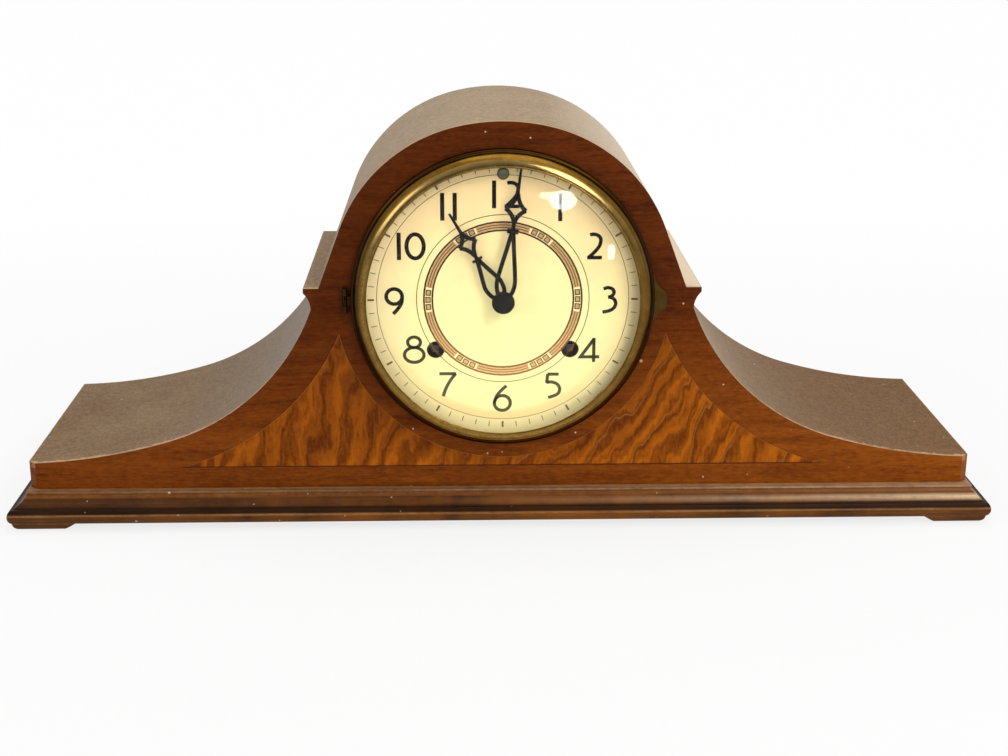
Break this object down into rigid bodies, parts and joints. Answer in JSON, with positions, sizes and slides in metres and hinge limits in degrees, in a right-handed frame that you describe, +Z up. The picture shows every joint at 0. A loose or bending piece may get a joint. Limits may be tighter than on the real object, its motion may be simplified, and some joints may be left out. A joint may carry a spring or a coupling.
{
  "type": "mantel clock",
  "caption": "Humpback mantel clock with a round dial in a hinged bezel, an inlaid front, a moulded base, a two-train pendulum movement and a coil gong behind a back door.",
  "frame": {"origin": "middle of the base's footprint, on the surface that the feet stand on", "axes": "+X to the right as seen from the front, along the length; +Y from the dial to the back; +Z up"},
  "size_m": [0.535, 0.16, 0.2197],
  "materials": {
    "mahogany": "dark red-brown, satin lacquer, horizontal grain",
    "figured_veneer": "orange-brown figured veneer, satin lacquer",
    "roof_veneer": "faded brown veneer, dull",
    "base_wood": "brown stained hardwood, worn edges",
    "inner_wood": "plain unfinished softwood",
    "aged_brass": "aged brass, satin",
    "movement_brass": "bright brass",
    "dial_paint": "cream painted steel",
    "clear_glass": "clear, polished",
    "black_steel": "black, satin",
    "steel": "ground steel",
    "blued_steel": "blued spring steel",
    "black_iron": "black japanned iron"
  },
  "bodies": {
    "case": {"back_board": "inner_wood", "back_plate": "movement_brass", "base_board": "inner_wood", "bezel_hinge_leaf": "aged_brass", "coil_gong": "blued_steel", "dial_plate": "dial_paint", "feet": "base_wood", "frame_hinge_leaves": "aged_brass", "front_base_moulding": "base_wood", "front_board": "mahogany", "front_plate": "movement_brass", "gong_stand": "black_iron", "hump_roof": "roof_veneer", "inlay_panel": "figured_veneer", "left_base_moulding": "base_wood", "left_end_block": "mahogany", "left_shoulder": "roof_veneer", "left_wing": "roof_veneer", "mainsprings": "blued_steel", "mounting_posts": "steel", "pillar_nuts": "steel", "pillars": "steel", "right_base_moulding": "base_wood", "right_end_block": "mahogany", "right_shoulder": "roof_veneer", "right_wing": "roof_veneer", "suspension_cock": "movement_brass"},
    "bezel": {"bezel_ring": "aged_brass", "bezel_tab": "aged_brass", "bezel_glass": "clear_glass", "glass_clips": "aged_brass"},
    "door": {"back_door": "inner_wood", "door_hinge_leaves": "aged_brass"},
    "button": {"turn_button": "aged_brass"},
    "minute_work": {"cannon_pinion": "movement_brass", "minute_hand": "black_steel", "hand_nut": "black_steel"},
    "minute_wheel": {"minute_wheel": "movement_brass"},
    "hour_work": {"hour_wheel": "movement_brass", "hour_hand": "black_steel"},
    "escape_wheel": {"escape_wheel": "movement_brass"},
    "third_wheel": {"third_wheel": "movement_brass"},
    "centre_wheel": {"centre_wheel": "movement_brass"},
    "second_wheel": {"second_wheel": "movement_brass"},
    "time_great_wheel": {"time_great_wheel": "movement_brass"},
    "time_winding": {"time_winding_arbor": "steel"},
    "time_click": {"time_click": "steel"},
    "fly": {"fly": "movement_brass"},
    "warning_wheel": {"warning_wheel": "movement_brass"},
    "pin_wheel": {"pin_wheel": "movement_brass"},
    "strike_great_wheel": {"strike_great_wheel": "movement_brass"},
    "strike_winding": {"strike_winding_arbor": "steel"},
    "strike_click": {"strike_click": "steel"},
    "hammer": {"hammer": "steel"},
    "pendulum": {"pendulum_rod": "steel", "pendulum_bob": "movement_brass"},
    "verge": {"verge": "steel"},
    "rating_nut": {"rating_nut": "movement_brass"},
    "regulator": {"regulator_arbor": "aged_brass"}
  },
  "joints": [
    {"name": "bezel_open", "type": "hinge", "parent": "case", "child": "bezel", "pos_m": [-0.0832, -0.0686, 0.1259], "axis": [0, 0, -1], "range_deg": [0, 110]},
    {"name": "back_door_open", "type": "hinge", "parent": "case", "child": "door", "pos_m": [0.0617, 0.0755, 0.0909], "axis": [0, 0, -1], "range_deg": [0, 110]},
    {"name": "turn_button_turn", "type": "hinge", "parent": "case", "child": "button", "pos_m": [-0.069, 0.0751, 0.1259], "axis": [0, 1, 0], "range_deg": [0, 90]},
    {"name": "minute_hand_turn", "type": "hinge", "parent": "case", "child": "minute_work", "pos_m": [0, -0.06, 0.1259], "axis": [0, 1, 0], "continuous": true},
    {"name": "minute_wheel_turn", "type": "hinge", "parent": "case", "child": "minute_wheel", "pos_m": [-0.00848, -0.05, 0.11742], "axis": [0, 1, 0], "continuous": true},
    {"name": "hour_hand_turn", "type": "hinge", "parent": "case", "child": "hour_work", "pos_m": [0, -0.06, 0.1259], "axis": [0, 1, 0], "continuous": true},
    {"name": "escape_wheel_turn", "type": "hinge", "parent": "case", "child": "escape_wheel", "pos_m": [0, -0.029, 0.1519], "axis": [0, 1, 0], "continuous": true},
    {"name": "third_wheel_turn", "type": "hinge", "parent": "case", "child": "third_wheel", "pos_m": [-0.01185, -0.029, 0.14176], "axis": [0, 1, 0], "continuous": true},
    {"name": "centre_wheel_turn", "type": "hinge", "parent": "case", "child": "centre_wheel", "pos_m": [0, -0.029, 0.1259], "axis": [0, 1, 0], "continuous": true},
    {"name": "second_wheel_turn", "type": "hinge", "parent": "case", "child": "second_wheel", "pos_m": [0.02144, -0.029, 0.12326], "axis": [0, 1, 0], "continuous": true},
    {"name": "time_great_wheel_turn", "type": "hinge", "parent": "case", "child": "time_great_wheel", "pos_m": [0.0358, -0.041, 0.0983], "axis": [0, 1, 0], "continuous": true},
    {"name": "time_winding", "type": "hinge", "parent": "time_great_wheel", "child": "time_winding", "pos_m": [0.0358, -0.041, 0.0983], "axis": [0, 1, 0], "continuous": true},
    {"name": "time_click_lift", "type": "hinge", "parent": "time_great_wheel", "child": "time_click", "pos_m": [0.04925, -0.041, 0.09712], "axis": [0, 1, 0], "range_deg": [0, 8]},
    {"name": "fly_turn", "type": "hinge", "parent": "case", "child": "fly", "pos_m": [-0.03044, -0.029, 0.15593], "axis": [0, 1, 0], "continuous": true},
    {"name": "warning_wheel_turn", "type": "hinge", "parent": "case", "child": "warning_wheel", "pos_m": [-0.03719, -0.029, 0.14424], "axis": [0, 1, 0], "continuous": true},
    {"name": "pin_wheel_turn", "type": "hinge", "parent": "case", "child": "pin_wheel", "pos_m": [-0.0308, -0.029, 0.12666], "axis": [0, 1, 0], "continuous": true},
    {"name": "strike_great_wheel_turn", "type": "hinge", "parent": "case", "child": "strike_great_wheel", "pos_m": [-0.0358, -0.041, 0.0983], "axis": [0, 1, 0], "continuous": true},
    {"name": "strike_winding", "type": "hinge", "parent": "strike_great_wheel", "child": "strike_winding", "pos_m": [-0.0358, -0.041, 0.0983], "axis": [0, 1, 0], "continuous": true},
    {"name": "strike_click_lift", "type": "hinge", "parent": "strike_great_wheel", "child": "strike_click", "pos_m": [-0.04925, -0.041, 0.09712], "axis": [0, 1, 0], "range_deg": [-8, 0]},
    {"name": "hammer_swing", "type": "hinge", "parent": "case", "child": "hammer", "pos_m": [-0.052, -0.02, 0.1339], "axis": [0, 1, 0], "range_deg": [0, 18]},
    {"name": "pendulum_swing", "type": "hinge", "parent": "case", "child": "pendulum", "pos_m": [0, -0.004, 0.1694], "axis": [0, 1, 0], "range_deg": [-5, 5]},
    {"name": "verge_rock", "type": "hinge", "parent": "case", "child": "verge", "pos_m": [0, -0.02, 0.1694], "axis": [0, 1, 0], "range_deg": [-5, 5]},
    {"name": "rating_nut_turn", "type": "hinge", "parent": "pendulum", "child": "rating_nut", "pos_m": [0, -0.004, 0.0301], "axis": [0, 0, 1], "continuous": true},
    {"name": "regulator_turn", "type": "hinge", "parent": "case", "child": "regulator", "pos_m": [0, -0.04, 0.1929], "axis": [0, 1, 0], "range_deg": [-180, 180]}
  ],
  "couplings": [
    {"joint": "minute_wheel_turn", "follows": "minute_hand_turn", "ratio": -0.33333},
    {"joint": "hour_hand_turn", "follows": "minute_hand_turn", "ratio": 0.083333},
    {"joint": "third_wheel_turn", "follows": "escape_wheel_turn", "ratio": -0.083333},
    {"joint": "centre_wheel_turn", "follows": "escape_wheel_turn", "ratio": 0.0069444},
    {"joint": "second_wheel_turn", "follows": "escape_wheel_turn", "ratio": -0.0011574},
    {"joint": "time_great_wheel_turn", "follows": "escape_wheel_turn", "ratio": 0.0001929},
    {"joint": "warning_wheel_turn", "follows": "fly_turn", "ratio": -0.125},
    {"joint": "pin_wheel_turn", "follows": "fly_turn", "ratio": 0.015625},
    {"joint": "strike_great_wheel_turn", "follows": "fly_turn", "ratio": -0.0026042},
    {"joint": "verge_rock", "follows": "pendulum_swing", "ratio": 1}
  ]
}
